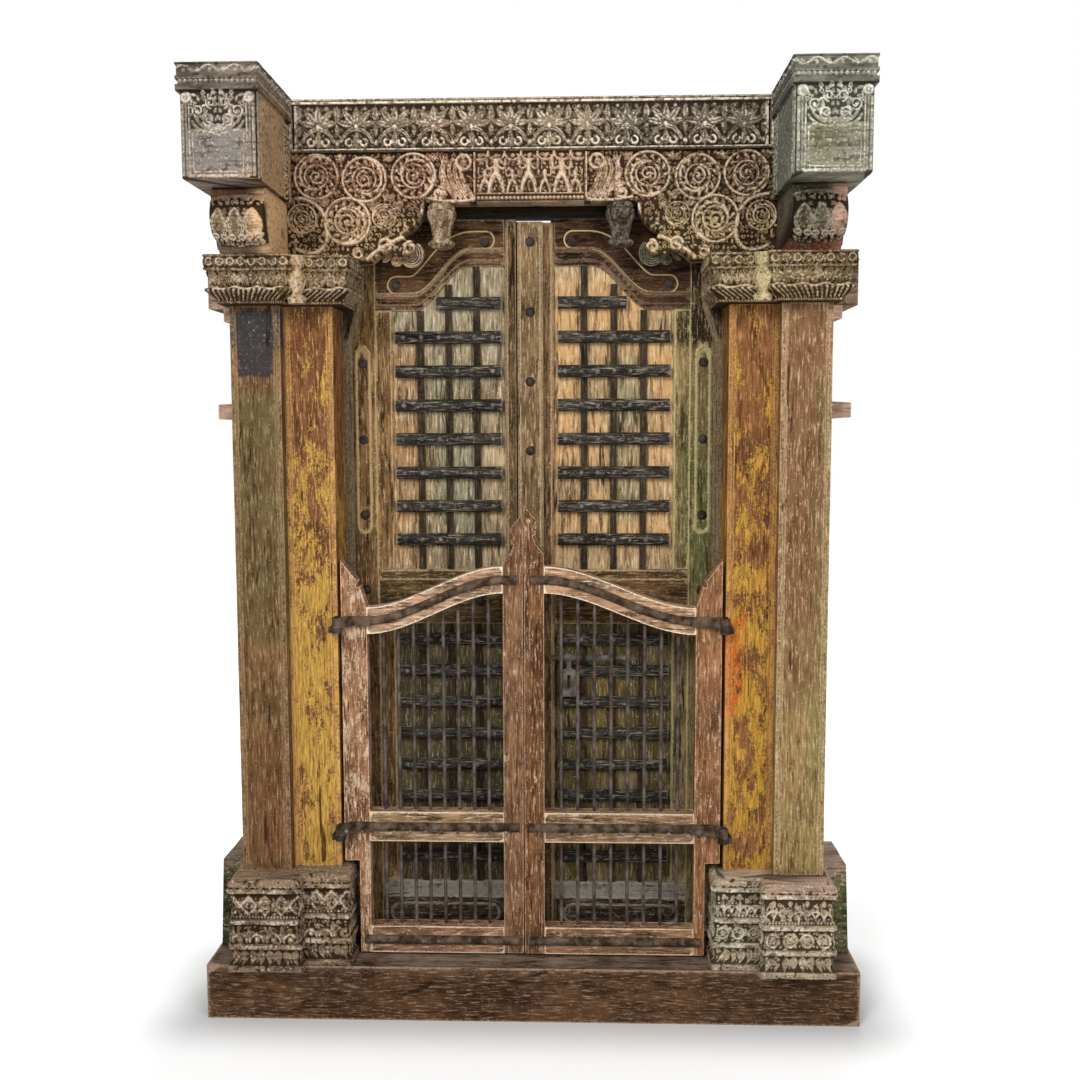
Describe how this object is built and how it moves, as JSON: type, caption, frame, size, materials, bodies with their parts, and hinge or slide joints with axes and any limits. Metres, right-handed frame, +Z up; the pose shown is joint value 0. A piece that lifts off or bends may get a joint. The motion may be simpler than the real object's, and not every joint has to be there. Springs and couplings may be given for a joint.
{
  "type": "wooden entrance door with frame and half gates",
  "caption": "Carved timber doorway: panelled leaves swing in behind barred half gates that swing out; carved bases, posts, capitals, corbels and lintel frame them.",
  "frame": {"origin": "on the floor under the sill, on the middle of the opening and in the plane of the inner posts' front faces", "axes": "+X to the right seen from the front, +Y to the back through the doorway, +Z up"},
  "size_m": [1.712, 0.539, 2.395],
  "materials": {
    "sill_timber": "worn dark timber, end-checked",
    "base_carving": "carved timber with grey-white patina",
    "outer_post_paint": "bare and olive-stained timber",
    "inner_post_paint": "chipped ochre paint over maroon timber",
    "capital_carving": "carved timber, ochre and grey patina",
    "corbel_carving": "carved timber, ochre and green patina",
    "beam_end_carving": "carved timber, slate-green worn paint",
    "lintel_carving": "carved timber, brown-green patina",
    "spandrel_carving": "carved timber, reddish-olive patina",
    "frieze_carving": "carved timber, reddish patina",
    "pendant_carving": "turned and carved timber, grey-green",
    "head_timber": "dark smoked timber",
    "lug_timber": "pale pinkish sawn timber",
    "leaf_timber": "dark olive-brown polished timber",
    "panel_boards": "tan and teal worn boards",
    "panel_battens": "near-black timber",
    "panel_bars": "near-black studded bars",
    "gate_timber": "worn reddish-pink timber",
    "forged_iron": "hand-forged iron, dark and dull"
  },
  "bodies": {
    "frame": {"sill": "sill_timber", "left_base": "base_carving", "right_base": "base_carving", "left_outer_post": "outer_post_paint", "right_outer_post": "outer_post_paint", "left_inner_post": "inner_post_paint", "right_inner_post": "inner_post_paint", "left_capital": "capital_carving", "right_capital": "capital_carving", "left_corbel": "corbel_carving", "right_corbel": "corbel_carving", "left_beam_end": "beam_end_carving", "right_beam_end": "beam_end_carving", "lintel_beam": "lintel_carving", "left_spandrel": "spandrel_carving", "right_spandrel": "spandrel_carving", "figure_frieze": "frieze_carving", "pendants": "pendant_carving", "head_beam": "head_timber", "left_architrave": "head_timber", "right_architrave": "head_timber", "gate_pintles": "forged_iron", "wall_lugs": "lug_timber"},
    "left_leaf": {"left_hinge_stile": "leaf_timber", "left_meeting_stile": "leaf_timber", "left_top_rail": "leaf_timber", "left_mid_rail": "leaf_timber", "left_bottom_rail": "leaf_timber", "left_boards": "panel_boards", "left_battens": "panel_battens", "left_bars": "panel_bars", "left_bosses": "forged_iron", "bolt_keeper": "forged_iron"},
    "right_leaf": {"right_hinge_stile": "leaf_timber", "right_meeting_stile": "leaf_timber", "right_top_rail": "leaf_timber", "right_mid_rail": "leaf_timber", "right_bottom_rail": "leaf_timber", "right_boards": "panel_boards", "right_battens": "panel_battens", "right_bars": "panel_bars", "right_bosses": "forged_iron", "astragal": "leaf_timber", "bolt_staples": "forged_iron"},
    "left_gate": {"left_gate_outer_stile": "gate_timber", "left_gate_meeting_stile": "gate_timber", "left_gate_top_rail": "gate_timber", "left_gate_mid_rail": "gate_timber", "left_gate_bottom_rail": "gate_timber", "left_gate_bars": "forged_iron", "left_gate_straps": "forged_iron"},
    "right_gate": {"right_gate_outer_stile": "gate_timber", "right_gate_meeting_stile": "gate_timber", "right_gate_top_rail": "gate_timber", "right_gate_mid_rail": "gate_timber", "right_gate_bottom_rail": "gate_timber", "right_gate_bars": "forged_iron", "right_gate_straps": "forged_iron"},
    "bolt": {"bolt": "forged_iron"},
    "hasp": {"hasp": "forged_iron"}
  },
  "joints": [
    {"name": "left_leaf_swing", "type": "hinge", "parent": "frame", "child": "left_leaf", "pos_m": [-0.473, 0.181, 1.1], "axis": [0, 0, 1], "range_deg": [0, 95]},
    {"name": "right_leaf_swing", "type": "hinge", "parent": "frame", "child": "right_leaf", "pos_m": [0.473, 0.181, 1.1], "axis": [0, 0, -1], "range_deg": [0, 95]},
    {"name": "left_gate_swing", "type": "hinge", "parent": "frame", "child": "left_gate", "pos_m": [-0.502, -0.032, 0.7], "axis": [0, 0, -1], "range_deg": [0, 100]},
    {"name": "right_gate_swing", "type": "hinge", "parent": "frame", "child": "right_gate", "pos_m": [0.502, -0.032, 0.7], "axis": [0, 0, 1], "range_deg": [0, 100]},
    {"name": "bolt_slide", "type": "slide", "parent": "right_leaf", "child": "bolt", "axis": [-1, 0, 0], "range_m": [0, 0.118]},
    {"name": "hasp_swing", "type": "hinge", "parent": "bolt", "child": "hasp", "pos_m": [0.098, 0.128, 0.9324], "axis": [-1, 0, 0], "range_deg": [0, 45]}
  ]
}
